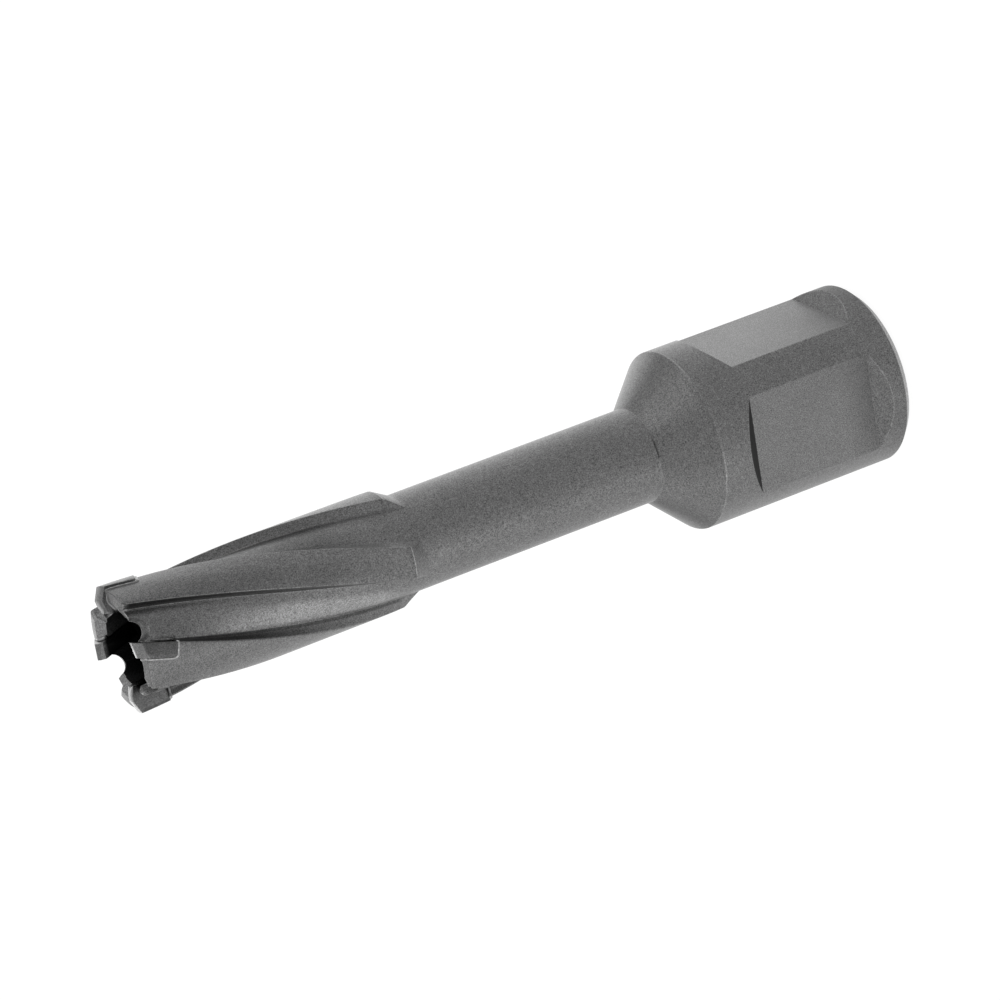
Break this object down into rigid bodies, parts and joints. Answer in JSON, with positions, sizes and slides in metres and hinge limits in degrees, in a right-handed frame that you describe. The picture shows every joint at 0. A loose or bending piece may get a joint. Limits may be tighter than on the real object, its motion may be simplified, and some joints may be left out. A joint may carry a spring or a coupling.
{
  "type": "annular cutter",
  "caption": "Tubular hole cutter with brazed carbide tips, helical flutes, a long neck and a straight shank with two clamping flats.",
  "frame": {"origin": "centre of the shank's end face, on which the cutter stands", "axes": "+Z along the tool axis towards the teeth, -Y out of the first clamping flat, +X out of the second"},
  "size_m": [0.019, 0.019, 0.0877],
  "materials": {
    "steel": "blasted, dark satin",
    "carbide": "ground, satin",
    "braze": "as brazed, bright"
  },
  "bodies": {
    "root": {"cutter_body": "steel", "carbide_tip_1": "carbide", "carbide_tip_2": "carbide", "carbide_tip_3": "carbide", "carbide_tip_4": "carbide", "braze_seam_1": "braze", "braze_seam_2": "braze", "braze_seam_3": "braze", "braze_seam_4": "braze"}
  },
  "joints": []
}
